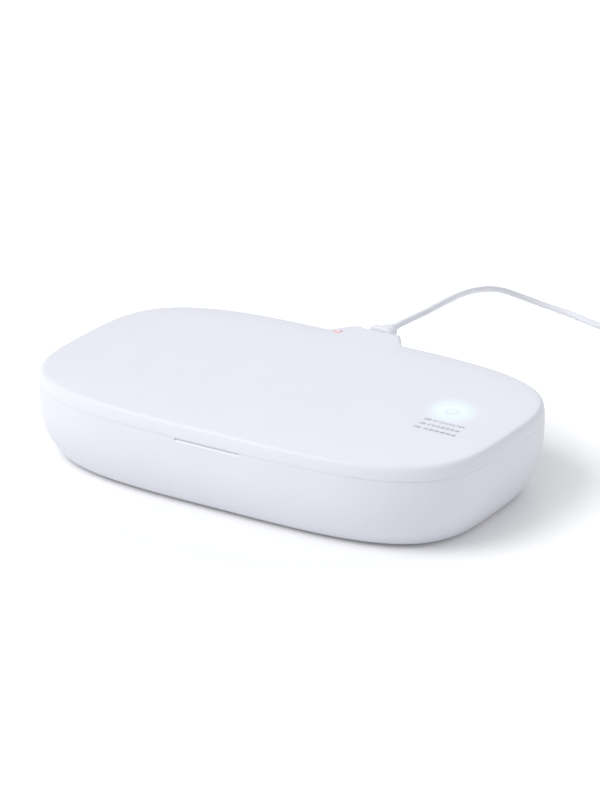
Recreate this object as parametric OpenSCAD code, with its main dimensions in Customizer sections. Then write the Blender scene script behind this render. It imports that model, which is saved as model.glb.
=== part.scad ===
/* [Case] */
// Width of the box, side to side
case_w = 225; // [221:1:229]
// Depth of the box without the hinge tail at its back
case_d = 133; // [130:1:136]
// Height of the gap where base and lid meet
seam_z = 34.5; // [34:0.25:35]
// Height of the lid's top edge
edge_z = 41.6; // [41.2:0.1:42]
// Rise of the lid's middle above its edge
crown = 0.8; // [0.4:0.1:1]
// Roundness of the corners along X, where 2 is an ellipse
corner_x = 3.7; // [3.4:0.1:4]
// Roundness of the corners along Y
corner_y = 3.5; // [3.2:0.1:3.8]
// How far the base's side draws in at its foot
side_inset = 8; // [7:0.5:9]
// Wall of base and lid
wall = 2.2; // [2:0.1:2.4]

/* [Hinge] */
// How far the hinge tail stands out behind the box
tail_reach = 11; // [10.5:0.5:12]
// Radius of the lid's hinge knuckles
knuckle_r = 3.9; // [3.8:0.1:4]
// Radius of the steel hinge pins
pin_r = 1.25; // [1.1:0.05:1.3]
// Running clearance of the pins in the knuckles
pin_gap = 0.05; // [0.03:0.01:0.08]

/* [Button] */
// Place of the button, right of the middle
button_x = 79; // [74:0.5:80]
// Place of the button, behind the middle
button_y = 7; // [6:0.5:12]
// Radius of the button's cap
button_r = 6.5; // [6:0.25:7]
// How far the button travels
button_travel = 0.45; // [0.3:0.05:0.45]

/* [Cord] */
// Diameter of the power cord
cord_d = 3; // [2.8:0.1:3]
// Step between the coil's turns and layers
coil_pitch = 3.45; // [3.45:0.05:3.7]

/* [Hidden] */

$fn = 48;
half_w = case_w / 2;
half_d = case_d / 2;
top_z = edge_z + crown;
seam_gap = 0.2;
rim_z = seam_z - seam_gap / 2;
lid_z = seam_z + seam_gap / 2;
foot_h = 1.5;
floor_z = foot_h + wall;
side_curve = 3.3;
bottom_fillet = 1;
block_share = 0.25;
side_steps = [0, 0.2, 0.36, 0.5, 0.62, 0.73, 0.83, 0.92, 1];
inner_steps = [0, block_share, 0.45, 0.62, 0.78, 0.92];
ring_n = 80;
tail_n = 14;
tail_flat = 10;
tail_half = 20.5;
tail_depth = 0.75;
cut = 1;

white = [0.93, 0.93, 0.96];
grey = [0.72, 0.73, 0.76];
steel = [0.75, 0.75, 0.77];
mirror_grey = [0.82, 0.84, 0.86];
board_green = [0.12, 0.38, 0.24];
black = [0.1, 0.1, 0.11];
copper = [0.78, 0.45, 0.25];
clear_blue = [0.8, 0.88, 0.95, 0.5];
glow_blue = [0.85, 0.95, 1];
rubber_grey = [0.62, 0.63, 0.65];
pale_pink = [0.95, 0.6, 0.62];

hinge_y = half_d + tail_reach - knuckle_r;
hinge_z = edge_z - 0.2 - knuckle_r;
block_half = 8.5;
side_gap = 0.2;
knuckle_in = block_half + side_gap;
pin_in = 5.2;
pin_out = 12.4;
cradle_r = knuckle_r + 0.3;
block_front_r = 7.5;

liner_floor_z = 9.5;
liner_wall = 1.5;
chamber_z = liner_floor_z + liner_wall;
flange_z = 32.4;
flange_t = 1.2;
flange_edge = 4.6;
tub_inset = 11;
sheet_t = 0.35;
rail_x = [-70, -62, 62, 70];
rail = [2, 84, 0.75];
window = [116, 14, 0.8];
window_view = [100, 9];
led_x = [-45, -15, 15, 45];
led_board = [124, 16, 1];
led_screw_x = 58.5;

lid_plate_z = 35.2;
lid_plate_t = 1.5;
lid_plate_top = lid_plate_z + lid_plate_t;
lid_roof_z = 40.2;
lid_rings = [
    [0, lid_z], [0.1, 36.4], [0.32, 38], [0.66, edge_z - 2.1], [1.2, edge_z - 1.2], [1.95, edge_z - 0.7],
    [3, edge_z - 0.36]
];
// The lid's shoulder: inset, how far the tail stands out there, and height
shoulder_rings = [
    [3.8, hinge_y - half_d + 3.8, edge_z - 0.2], [4.8, hinge_y - half_d + 3.8, edge_z - 0.05],
    [6.2, 7.7, edge_z + 0.14 * crown], [8, 4.5, edge_z + 0.34 * crown], [10.5, 2, edge_z + 0.54 * crown],
    [17, 0, edge_z + 0.82 * crown], [28, 0, top_z]
];
lip = [2.8, 4];
lip_z = 32.6;
lid_board_z = 37.4;
coil_x = -15;
pad_coil_in = 11;
pad_coil_turns = 13;

foot_at = [78, 38];
foot_r = 6;
foot_pocket = 0.7;
boss_z = 6;
lid_boss_at = [[92, 36], [-92, 36], [92, -36], [-92, -36], [0, -58], [0, 57]];
board_post_at = [[30, 25], [-30, 25], [30, 45], [-30, 45]];
magnet_at = [45, -60];
status_at = [-13.7, 63.2];
status_r = 2.2;
notch_half = 16.5;
notch_depth = 1.4;
charger_post_at = [[10, 32], [-40, 32], [10, 48], [-40, 48]];
button_post_at = [for (x = [-11.5, 11.5], y = [-15, 15]) [button_x + x, button_y + y]];
button_low_z = 39.2;
button_board = [27.6, 34, 0.8];

// USB-C: the socket's shell, the plug's tip, and the play between them
socket_w = 8.94;
socket_h = 3.24;
socket_len = 7.3;
socket_t = 0.3;
tip_w = 8.26;
tip_h = 2.4;
tip_len = 6.6;
socket_y = half_d + tail_reach - socket_len - 0.1;
socket_board_t = 1.2;
socket_board_z = hinge_z - socket_h / 2 - socket_board_t;
// Two leads go down the chin and under the tub to the main board
lead_r = 0.7;
lead_path = [[69.6, 25.4], [58.4, 14.8], [58.4, 8.4], [49.5, 8.4]];

plug_y = half_d + tail_reach + 0.2;
plug_len = 12.5;
cord_y = plug_y + plug_len;

tie_t = 0.5;
tie_w = 8;
coil_at = [80, 207.7];
coil_turns = 7;
coil_steps = 24;
coil_sides = 6;
coil_out_r = 22;
coil_in_r = coil_out_r - coil_pitch * coil_turns / 2;
coil_low_z = cord_d / 2 + tie_t + 0.05;
coil_y = coil_at[1] + coil_out_r;
tie_r = [coil_in_r - cord_d / 2 - 1.2, coil_out_r - (coil_pitch - cord_d) / 2 + 0.3];
tie_hole = [tie_r[1] - tie_r[0], coil_pitch + cord_d + 0.1];
charger_plug_at = [111.5, 183, 4.1];
charger_body = [15.8, 24, 7.8];
charger_shell = [12, 12.2, 4.5];
// The cord's route from the plug to the coil
cord_route = [
    [0, 92, 37.5], [0, 96, 37.4], [0, 104, 36.9], [0, 113, 36.3], [0, 122, 35.7], [-0.5, 131, 35],
    [-1.5, 140, 33.9], [-3, 149, 32.4], [-5, 158, 30.5], [-7, 167, 28.3], [-9, 176, 26],
    [-10.5, 185, 23.6], [-11.5, 194, 21.1], [-11.8, 202, 18.7], [-11, 209, 16.3], [-9, 215, 13.6],
    [-6, 220, 10.7], [-2, 224.5, 7.9], [3, 228, 5.4], [9, 230.5, 3.5], [17, 231.5, 2.1],
    [26, 229.5, 1.55], [35, 226.5, 1.55], [45, 225, 1.55], [55, 225.8, 1.55], [63, 228, 1.6],
    [69, 229.4, 1.8], [75, coil_y, coil_low_z]
];
// The cord's route from the coil to the charger plug
end_route = [
    [85, coil_y, coil_low_z + coil_pitch], [91, 229.4, 4.9], [97, 227.8, 3.6], [102, 225, 2.5],
    [107, 220.5, 1.8], [110.5, 213, 1.55], [111.5, 205, 1.6], [111.5, 198, 2.2], [111.5, 191, 3.4],
    [111.5, 186, 4.1]
];

function signed_pow(v, e) = sign(v) * pow(abs(v), e);
function oval(a, b, t) = [a * signed_pow(cos(t), 2 / corner_x), b * signed_pow(sin(t), 2 / corner_y)];
function rear_y(x, inset) =
    (half_d - inset) * pow(1 - pow(abs(x) / (half_w - inset), corner_x), 1 / corner_y);
function tail_share(x) =
    let (u = min(1, max(0, (abs(x) - tail_flat) / (tail_half - tail_flat)))) 1 - u * u * (3 - 2 * u);
// One closed outline of the case at a height, with the hinge tail standing out by tail
function ring(inset, tail, z) = [
    for (i = [1:ring_n - 1])
        let (p = oval(half_w - inset, half_d - inset, 90 + 360 * i / ring_n)) [p[0], p[1], z],
    for (j = [0:tail_n])
        let (x = tail_half * (1 - 2 * j / tail_n)) [x, rear_y(x, inset) + tail * tail_share(x), z]
];
function plain_ring(inset, z, n) =
    [for (i = [0:n - 1]) let (p = oval(half_w - inset, half_d - inset, 360 * i / n)) [p[0], p[1], z]];
function flat(points) = [for (p = points) [p[0], p[1]]];
function side_draw(t) = side_inset * pow(t, side_curve);
function chin(t) = t < tail_depth ? (tail_reach - 0.4) * pow(cos(90 * t / tail_depth), 2) : 0;
function join(lists) = [for (l = lists) each l];

// A closed skin over rings of equal count, lowest first
module loft(rings) {
    n = len(rings[0]);
    last = len(rings) - 1;
    sides = [
        for (k = [0:last - 1], i = [0:n - 1])
            let (a = k * n + i, b = k * n + (i + 1) % n)
            each [[a, a + n, b + n], [a, b + n, b]]
    ];
    bottom = [[for (i = [0:n - 1]) i]];
    top = [[for (i = [n - 1:-1:0]) last * n + i]];
    polyhedron(join(rings), concat(sides, bottom, top));
}

function unit(v) = v / norm(v);
// A smooth curve through the route's points, with extra points between them
function curve_at(p, i, u) =
    let (a = p[max(0, i - 1)], b = p[i], c = p[i + 1], d = p[min(len(p) - 1, i + 2)])
    0.5 * (2 * b + (c - a) * u + (2 * a - 5 * b + 4 * c - d) * u * u
        + (3 * b - a - 3 * c + d) * u * u * u);
function smooth_route(p, steps) =
    concat([for (i = [0:len(p) - 2], s = [0:steps - 1]) curve_at(p, i, s / steps)], [p[len(p) - 1]]);
function heading(p, i) = unit(p[min(len(p) - 1, i + 1)] - p[max(0, i - 1)]);
function tube_ring(at, along, r, sides) =
    let (across = unit(cross(along, [0, 0, 1])), up = cross(across, along))
    [for (k = [0:sides - 1]) at + r * (across * cos(360 * k / sides) + up * sin(360 * k / sides))];
module tube(path, d, sides)
    loft([for (i = [0:len(path) - 1]) tube_ring(path[i], heading(path, i), d / 2, sides)]);

// The coil winds in on its lower layer and out again on its upper one
function coil_r(turn) = coil_out_r - coil_pitch * min(turn, coil_turns - turn);
function ease(u) = let (v = min(1, max(0, u))) v * v * (3 - 2 * v);
function coil_point(turn) = [
    coil_at[0] + coil_r(turn) * sin(360 * turn),
    coil_at[1] + coil_r(turn) * cos(360 * turn),
    coil_low_z + coil_pitch * ease((turn - coil_turns / 2 + 0.25) / 0.5)
];
coil_start = [coil_at[0] - cord_d, coil_y, coil_low_z];
coil_end = [coil_at[0] + cord_d, coil_y, coil_low_z + coil_pitch];
coil_path = [coil_start, for (i = [0:coil_turns * coil_steps]) coil_point(i / coil_steps), coil_end];
run_path = concat([[0, cord_y, hinge_z]], smooth_route(cord_route, 2), [coil_start]);
end_path = concat([coil_end], smooth_route(end_route, 2), [charger_plug_at]);
function coil_gap(i) =
    min([for (j = [i + coil_steps / 2:len(coil_path) - 1]) norm(coil_path[i] - coil_path[j])]) - cord_d;
coil_least_gap = min([for (i = [0:len(coil_path) - 1 - coil_steps / 2]) coil_gap(i)]);
function sum(v, i = 0) = i < len(v) ? v[i] + sum(v, i + 1) : 0;
function path_length(p) = sum([for (i = [1:len(p) - 1]) norm(p[i] - p[i - 1])]);

module at_middle() translate([0, -tail_reach / 2, 0]) children();
module slab(size, z) translate([0, 0, z]) linear_extrude(size[2]) square([size[0], size[1]], center = true);
module post(at, r, z0, z1) translate([at[0], at[1], z0]) cylinder(r = r, h = z1 - z0);
module both_sides() {
    children();
    mirror([1, 0, 0]) children();
}
module along_x(at_y, at_z, r, x0, x1)
    translate([x0, at_y, at_z]) rotate([0, 90, 0]) cylinder(r = r, h = x1 - x0);
module oval_plate(inset, z0, z1)
    translate([0, 0, z0]) linear_extrude(z1 - z0) polygon(flat(plain_ring(inset, 0, 64)));

// Base: the lower shell, open at the top, with the chin under the hinge
function side_ring(t, inward) =
    ring(side_draw(t) + inward, chin(t), rim_z - t * (rim_z - foot_h - bottom_fillet));
module base_shell() color(white) at_middle() difference() {
    union() {
        loft(concat(
            [ring(side_inset + bottom_fillet, 0, foot_h)],
            [for (k = [len(side_steps) - 1:-1:0]) side_ring(side_steps[k], 0)],
            [for (t = inner_steps) side_ring(t, wall)],
            [ring(side_inset + wall + 1, 0, floor_z)]
        ));
        for (x = [-1, 1], y = [-1, 1])
            post([x * foot_at[0], y * foot_at[1]], 5, foot_h + wall / 2, boss_z);
        for (p = board_post_at) post(p, 2.5, foot_h + wall / 2, 5.5);
    }
    for (x = [-1, 1], y = [-1, 1]) {
        post([x * foot_at[0], y * foot_at[1]], foot_r + 0.1, 0, foot_h + foot_pocket);
        post([x * foot_at[0], y * foot_at[1]], 2.6, 0, 3.5);
        post([x * foot_at[0], y * foot_at[1]], 1.5, 0, boss_z + cut);
    }
    for (p = board_post_at) post(p, 0.8, 3, boss_z);
    both_sides() along_x(hinge_y, hinge_z, cradle_r, block_half, 16);
    translate([-notch_half, 0, 0]) rotate([90, 0, 90]) linear_extrude(2 * notch_half)
        polygon([[-half_d - cut, rim_z - 2.3], [notch_depth - half_d, rim_z - 0.6],
            [notch_depth - half_d, rim_z + cut], [-half_d - cut, rim_z + cut]]);
}

// The block between the knuckles, which holds the socket and the hinge pins
module block_foot() intersection() {
    loft([side_ring(block_share, wall + 0.05), side_ring(0, wall + 0.05)]);
    translate([-tail_flat, half_d - wall, 0]) cube([2 * tail_flat, 2 * tail_reach, top_z]);
}
module block_head() intersection() {
    along_x(hinge_y, hinge_z, block_front_r, -block_half, block_half);
    translate([-block_half, 0, 0]) rotate([90, 0, 90]) linear_extrude(2 * block_half) polygon(concat(
        [[hinge_y, rim_z - 3], [half_d - wall, rim_z - 3], [half_d - wall, edge_z + 0.2],
            [hinge_y - 1, edge_z - 0.02]],
        [for (a = [75:-15:0])
            [hinge_y + (knuckle_r - 0.1) * cos(a), hinge_z + (knuckle_r - 0.1) * sin(a)]],
        [[hinge_y + knuckle_r - 0.1, rim_z], [hinge_y, rim_z]]
    ));
}
module rear_block() color(white) at_middle() difference() {
    union() {
        difference() {
            block_foot();
            both_sides() along_x(hinge_y, hinge_z, cradle_r, block_half, tail_half);
        }
        block_head();
    }
    translate([0, 0, hinge_z]) pill(socket_w + 0.06, socket_h + 0.06, socket_len + cut, socket_y - 0.1);
    translate([-7.6, hinge_y - 5.2, socket_board_z - 0.1]) cube([15.2, 8, socket_board_t + 0.15]);
    translate([-3, hinge_y - 5.2, floor_z]) cube([6, 4, socket_board_z - floor_z]);
    both_sides() along_x(hinge_y, hinge_z, pin_r, pin_in, block_half + cut);
}
module pill(w, h, depth, y0)
    translate([0, y0 + depth, 0]) rotate([90, 0, 0]) linear_extrude(depth) {
        square([w - h, h], center = true);
        for (x = [-1, 1]) translate([x * (w - h) / 2, 0]) circle(d = h);
    }

module usb_socket() color(steel) at_middle() translate([0, 0, hinge_z]) {
    difference() {
        pill(socket_w, socket_h, socket_len, socket_y);
        pill(socket_w - 2 * socket_t, socket_h - 2 * socket_t, socket_len, socket_y + 2 * socket_t);
    }
    translate([-3.34, socket_y + 0.4, -0.35]) cube([6.68, 5.2, 0.7]);
}
module socket_board() color(board_green) at_middle()
    translate([-7.4, hinge_y - 5, socket_board_z]) cube([14.8, 7.6, socket_board_t]);
module lead_piece(from, to)
    translate([0, from[0], from[1]]) rotate([atan2(to[1] - from[1], to[0] - from[0]) - 90, 0, 0])
        cylinder(r = lead_r, h = norm(to - from));
module power_lead() color(black) at_middle() for (x = [-1.4, 1.4]) translate([x, 0, 0]) {
    post([0, lead_path[0][0]], lead_r, lead_path[0][1], socket_board_z);
    for (k = [0:len(lead_path) - 2]) {
        translate([0, lead_path[k][0], lead_path[k][1]]) sphere(lead_r + 0.05);
        lead_piece(lead_path[k], lead_path[k + 1]);
    }
}
module hinge_pins() color(steel) at_middle() both_sides() along_x(hinge_y, hinge_z, pin_r, pin_in, pin_out);

// The tub that holds the phone
module chamber_liner() color(white) at_middle() difference() {
    union() {
        loft([for (p = [[15.5, 9.5], [13.2, 10.2], [11.5, 14], [10, 24], [9.5, flange_z + 0.2]])
            plain_ring(p[0], p[1], 56)]);
        oval_plate(flange_edge, flange_z, flange_z + flange_t);
        for (x = [-1, 1], y = [-1, 1])
            post([x * foot_at[0], y * foot_at[1]], 4, boss_z + 0.1, liner_floor_z + cut);
        for (x = [-1, 1]) post([x * led_screw_x, 0], 2.4, 7.6, liner_floor_z + cut);
    }
    loft([for (p = [[17, chamber_z], [14.6, 11.9], [13, 15], [11.5, 24],
            [tub_inset, flange_z + flange_t + cut]])
        plain_ring(p[0], p[1], 56)]);
    slab([window[0] + 0.2, window[1] + 0.2, 4], chamber_z - window[2]);
    slab([window_view[0], window_view[1], 4], liner_floor_z - cut);
    for (x = [-1, 1], y = [-1, 1]) post([x * foot_at[0], y * foot_at[1]], 1.1, boss_z, chamber_z - 0.6);
    for (x = [-1, 1]) post([x * led_screw_x, 0], 0.9, 7, liner_floor_z + 0.5);
}
module floor_reflector() color(mirror_grey) at_middle() difference() {
    oval_plate(18, chamber_z, chamber_z + sheet_t);
    slab([window_view[0] + 4, window_view[1] + 2, 3], chamber_z - cut);
}
module support_rails() color(clear_blue) at_middle() for (x = rail_x)
    translate([x, 0, 0]) slab(rail, chamber_z + sheet_t);
module base_window() color(clear_blue) at_middle() slab(window, chamber_z - window[2]);
module led_strip(z) difference() {
    slab(led_board, z);
    for (x = [-1, 1]) post([x * led_screw_x, 0], 1.2, z - cut, z + 2);
}
module base_led_board() color(board_green) at_middle() led_strip(6.6);
module uv_led(x, z, up) translate([x, 0, z]) {
    translate([-1.75, -1.75, up > 0 ? 0 : -0.7]) cube([3.5, 3.5, 0.7]);
    translate([0, 0, up > 0 ? 0.4 : -1.1]) cylinder(r = 1.3, h = 0.7);
}
module base_uv_leds() color(glow_blue) at_middle() for (x = led_x) uv_led(x, 7.6, 1);
module screw(at, z, r, head_r, head_t, len, up) translate([at[0], at[1], z]) mirror([0, 0, up > 0 ? 0 : 1]) {
    difference() {
        cylinder(r = head_r, h = head_t);
        translate([0, 0, -0.5]) cylinder(r = head_r * 0.45, h = 1, $fn = 6);
    }
    translate([0, 0, head_t - 0.1]) cylinder(r = r, h = len + 0.1);
}
module base_led_screws() color(steel) at_middle() for (x = [-1, 1])
    screw([x * led_screw_x, 0], 5.6, 0.85, 1.9, 1, 3.2, 1);
module main_board() color(board_green) at_middle() difference() {
    translate([0, 35, 0]) slab([72, 32, 1.4], 5.6);
    for (p = board_post_at) post(p, 1.1, 5, 8);
}
module main_board_parts() color(black) at_middle() {
    for (p = [[-18, 34, 8, 8, 1.4], [2, 38, 5, 6, 1.3], [14, 30, 7, 5, 1.8], [0, 25, 10, 4, 2],
            [20, 42, 5, 4, 1.6], [-9, 44, 5, 4, 2.1], [0, 46.5, 6, 6, 2.2]])
        translate([p[0], p[1], 0]) slab([p[2], p[3], p[4]], 7);
    for (x = [-30, -25]) post([x, 34], 1.9, 7, 9.3);
}
module board_screws() color(steel) at_middle() for (p = board_post_at) screw(p, 8.1, 0.75, 1.7, 1, 3, -1);
module base_screws() color(steel) at_middle() for (x = [-1, 1], y = [-1, 1])
    screw([x * foot_at[0], y * foot_at[1]], 2.3, 1, 2.4, 1.2, 6.6, 1);
module feet() color(rubber_grey) at_middle() for (x = [-1, 1], y = [-1, 1])
    translate([x * foot_at[0], y * foot_at[1], 0]) rotate_extrude()
        polygon([[0, 0], [foot_r - 0.4, 0], [foot_r, 0.4], [foot_r, foot_h + foot_pocket],
            [0, foot_h + foot_pocket]]);
module magnets(z0, z1) both_sides() post(magnet_at, 2.5, z0, z1);
module base_magnets() color(steel) at_middle() magnets(flange_z - 2.2, flange_z);
module lid_sensor() color(board_green) at_middle() {
    translate([36, magnet_at[1], 0]) slab([5, 4.4, 1.2], flange_z - 1.2);
    color(black) translate([36, magnet_at[1], 0]) slab([3, 2, 1], flange_z - 2.1);
}
module light_seal() color(rubber_grey) at_middle() difference() {
    oval_plate(5.8, flange_z + flange_t, lid_plate_z - 0.3);
    oval_plate(7.4, flange_z, lid_plate_z);
}

// Lid: the upper shell, with the hinge knuckles moulded on its tail
function tail_on_circle(z, inset) =
    hinge_y + sqrt(max(0, pow(knuckle_r, 2) - pow(z - hinge_z, 2))) - half_d + inset;
module lid_shell() color(white) at_middle() difference() {
    union() {
        loft(concat(
            [ring(4, 0, lid_roof_z), ring(2.3, 0, lid_roof_z - 1), ring(wall, 0, lid_z)],
            [for (p = lid_rings) ring(p[0], tail_on_circle(p[1], p[0]), p[1])],
            [for (p = shoulder_rings) ring(p[0], p[1], p[2])]
        ));
        both_sides() along_x(hinge_y, hinge_z, knuckle_r - 0.1, knuckle_in, 11.5);
        for (p = lid_boss_at) post(p, 2.8, lid_plate_top, lid_roof_z + 0.4);
    }
    along_x(hinge_y, hinge_z, block_front_r + side_gap, -knuckle_in, knuckle_in);
    translate([-knuckle_in, hinge_y, lid_z - 4]) cube([2 * knuckle_in, tail_reach, 12]);
    both_sides() along_x(hinge_y, hinge_z, pin_r + pin_gap, knuckle_in - cut, pin_out + 0.1);
    for (p = lid_boss_at) post(p, 0.9, lid_plate_top - cut, lid_roof_z);
    post([button_x, button_y], button_r + 0.2, lid_roof_z - cut, top_z + cut);
    post(status_at, status_r, lid_roof_z - 2, top_z + cut);
}
module lid_liner() color(white) at_middle() difference() {
    union() {
        oval_plate(2.6, lid_plate_z, lid_plate_top);
        difference() {
            oval_plate(lip[0], lip_z, lid_plate_z + 0.5);
            oval_plate(lip[1], lip_z - cut, lid_plate_z);
        }
        for (x = [-1, 1]) post([x * led_screw_x, 0], 2.2, lid_plate_top - 0.5, lid_board_z);
        for (p = charger_post_at) post(p, 1.9, lid_plate_top - 0.5, lid_board_z);
        for (p = button_post_at) post(p, 1.9, lid_plate_top - 0.5, lid_board_z);
    }
    for (x = [-1, 1]) post([x * led_screw_x, 0], 0.8, lid_plate_top - 0.4, lid_board_z + cut);
    slab([window[0] + 0.2, window[1] + 0.2, window[2] + cut], lid_plate_z - cut);
    slab([window_view[0], window_view[1], 4], lid_plate_z);
    for (p = lid_boss_at) {
        post(p, 1.1, lid_plate_z - cut, lid_plate_top + cut);
        post(p, 2.3, lid_plate_z - cut, lid_plate_z + 0.9);
    }
}
module lid_reflector() color(mirror_grey) at_middle() difference() {
    oval_plate(13, lid_plate_z - sheet_t, lid_plate_z);
    slab([window_view[0] + 4, window_view[1] + 2, 3], lid_plate_z - 2);
}
module lid_window() color(clear_blue) at_middle() slab(window, lid_plate_z);
module lid_led_board() color(board_green) at_middle() led_strip(lid_board_z);
module lid_uv_leds() color(glow_blue) at_middle() for (x = led_x) uv_led(x, lid_board_z, -1);
module lid_led_screws() color(steel) at_middle() for (x = [-1, 1])
    screw([x * led_screw_x, 0], lid_board_z + 1.7, 0.75, 1.8, 0.7, 2, -1);
module charging_coil() color(copper) at_middle() translate([coil_x, 0, 39.4]) rotate_extrude()
    for (k = [0:pad_coil_turns - 1]) translate([pad_coil_in + k, 0]) square([0.75, 0.75]);
module coil_ferrite() color(black) at_middle() post([coil_x, 0], 25.5, 38.7, 39.4);
module charger_board() color(board_green) at_middle() translate([coil_x, 40, 0])
    slab([58, 22, 0.8], lid_board_z);
module charger_parts() color(black) at_middle()
    for (p = [[-28, 38, 6, 6, 0.9], [-18, 42, 4, 4, 0.9], [-8, 37, 5, 4, 1.4], [2, 43, 4, 3, 1.2],
            [-34, 44, 3, 4, 1.5]])
        translate([p[0], p[1], 0]) slab([p[2], p[3], p[4]], lid_board_z + 0.8);
module button_board() color(board_green) at_middle() translate([button_x, button_y, 0])
    slab(button_board, lid_board_z);
module button_leds() color(glow_blue) at_middle() for (k = [0:5])
    translate([button_x, button_y, 0]) rotate(60 * k) translate([10.5, 0, 0])
        slab([1.6, 0.9, 0.5], lid_board_z + button_board[2]);
module tact_switch() color(black) at_middle() translate([button_x, button_y, 0]) {
    slab([4.6, 4.6, 0.45], lid_board_z + 0.8);
    post([0, 0], 1.1, lid_board_z + 1.2, button_low_z - button_travel - 0.05);
}
module light_ring() color(clear_blue) at_middle() difference() {
    post([button_x, button_y], 13, 38.8, lid_roof_z);
    post([button_x, button_y], 8.4, 38, lid_roof_z + cut);
}
module status_light() color(pale_pink) at_middle() translate([status_at[0], status_at[1], 0])
    rotate_extrude() polygon([
        [0, lid_board_z + 1], [status_r - 0.03, lid_board_z + 1], [status_r - 0.03, edge_z + 0.1],
        [status_r * 0.75, edge_z + 0.5], [status_r * 0.35, edge_z + 0.7], [0, edge_z + 0.75]
    ]);
module status_board() color(board_green) at_middle() {
    translate([-13.7, 59.4, 0]) slab([12, 8, 0.7], lid_board_z - 0.3);
    translate([-13.7, 62, 0]) slab([1.6, 1.2, 0.6], lid_board_z + 0.4);
}
module lid_magnets() color(steel) at_middle() magnets(lid_plate_top, lid_plate_top + 2.2);
module lid_screws() color(steel) at_middle() for (p = lid_boss_at)
    screw(p, lid_plate_z + 0.1, 0.85, 2.1, 0.8, 3.6, 1);

// The button: a cap held from below by its flange, with a stem over the switch
module button_cap() color(glow_blue) at_middle() translate([button_x, button_y, 0])
    rotate_extrude() polygon([
        [0, button_low_z], [2, button_low_z], [2, 39.5], [button_r + 1.2, 39.5], [button_r + 1.2, 40],
        [button_r, 40], [button_r, top_z - 0.35], [button_r - 0.3, top_z - 0.05], [0, top_z - 0.05]
    ]);

// Power cord, from the plug at the tail to the charger plug
module plug_tip() color(steel) at_middle() translate([0, 0, hinge_z]) difference() {
    pill(tip_w, tip_h, tip_len + 1.2, plug_y - tip_len);
    pill(tip_w - 1.26, tip_h / 2, tip_len - 0.6, plug_y - tip_len - 0.4);
}
module plug_body() color(white) at_middle() translate([0, 0, hinge_z]) difference() {
    union() {
        hull() {
            pill(10.8, 6.4, 0.3, plug_y);
            pill(13, 8.8, 1.6, plug_y + 0.7);
            pill(8.4, 5.2, 0.4, plug_y + 5.2);
        }
        hull() {
            pill(8.2, 5, 0.6, plug_y + 5);
            pill(8.8, 6.2, 0.8, plug_y + 7.4);
            pill(5.4, 4.4, 0.3, plug_y + 10.6);
            pill(4, 3.9, 0.2, plug_y + plug_len - 0.2);
        }
    }
    pill(tip_w, tip_h, 1.2 + cut, plug_y - cut);
}
module cord_run() color(white) at_middle() tube(run_path, cord_d, 8);
module cord_coil() color(white) at_middle() tube(coil_path, cord_d, coil_sides);
module cord_end() color(white) at_middle() tube(end_path, cord_d, 8);
module rounded(w, h, r) {
    square([w - 2 * r, h], center = true);
    square([w, h - 2 * r], center = true);
    for (x = [-1, 1], y = [-1, 1]) translate([x * (w / 2 - r), y * (h / 2 - r)]) circle(r);
}
// A strap round all the turns, on the side of the coil nearest the box
module cord_tie() color(grey) at_middle()
    translate([coil_at[0] - tie_w / 2, coil_at[1] - (tie_r[0] + tie_r[1]) / 2, tie_t + tie_hole[1] / 2])
        rotate([90, 0, 90]) linear_extrude(tie_w) difference() {
            rounded(tie_hole[0] + 2 * tie_t, tie_hole[1] + 2 * tie_t, 1.4);
            rounded(tie_hole[0], tie_hole[1], 0.9);
        }

module at_charger_plug() at_middle() translate(charger_plug_at) rotate([90, 0, 0]) children();
module charger_plug_body() color(white) at_charger_plug() {
    hull() {
        linear_extrude(0.5) rounded(6, 5, 2);
        translate([0, 0, 6]) linear_extrude(0.5) rounded(charger_body[0] - 1, charger_body[2] - 0.6, 2.4);
    }
    translate([0, 0, 6.4]) linear_extrude(charger_body[1] - 6.4) rounded(charger_body[0], charger_body[2], 2);
    translate([-5.5, 0.1, charger_body[1] - cut]) cube([11, 1.7, charger_shell[1] - 1]);
}
module charger_plug_shell() color(steel) at_charger_plug() translate([0, 0, charger_body[1]])
    linear_extrude(charger_shell[1]) difference() {
        rounded(charger_shell[0], charger_shell[2], 0.5);
        rounded(charger_shell[0] - 0.7, charger_shell[2] - 0.7, 0.3);
    }

echo(coil_least_gap = coil_least_gap, coil_length = path_length(coil_path),
    run_length = path_length(run_path), end_length = path_length(end_path));

base_shell();
rear_block();
chamber_liner();
floor_reflector();
support_rails();
base_window();
base_led_board();
base_uv_leds();
base_led_screws();
main_board();
main_board_parts();
board_screws();
socket_board();
usb_socket();
power_lead();
hinge_pins();
base_screws();
feet();
base_magnets();
lid_sensor();
light_seal();
lid_shell();
lid_liner();
lid_reflector();
lid_window();
lid_led_board();
lid_uv_leds();
lid_led_screws();
charging_coil();
coil_ferrite();
charger_board();
charger_parts();
button_board();
button_leds();
tact_switch();
light_ring();
status_light();
status_board();
lid_magnets();
lid_screws();
button_cap();
plug_tip();
plug_body();
cord_run();
cord_coil();
cord_end();
cord_tie();
charger_plug_body();
charger_plug_shell();
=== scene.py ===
"""Looks of a sanitizer box for phones: case, hinged lid, lit button, tub, and power cord."""

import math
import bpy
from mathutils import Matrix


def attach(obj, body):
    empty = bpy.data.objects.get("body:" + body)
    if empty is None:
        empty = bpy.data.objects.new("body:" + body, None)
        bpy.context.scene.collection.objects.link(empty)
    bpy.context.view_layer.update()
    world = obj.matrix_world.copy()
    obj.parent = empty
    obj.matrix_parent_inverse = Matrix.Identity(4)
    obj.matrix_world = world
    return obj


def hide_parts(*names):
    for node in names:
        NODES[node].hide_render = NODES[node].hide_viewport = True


bl_info = {
    "name": "Sanitizer Box",
    "version": (1, 0, 0),
    "blender": (4, 5, 0),
    "location": "View3D > Sidebar > Box",
    "description": "Models the case, lid, tub, button, cord and stage around the packed frame",
    "category": "Object",
}

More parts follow.
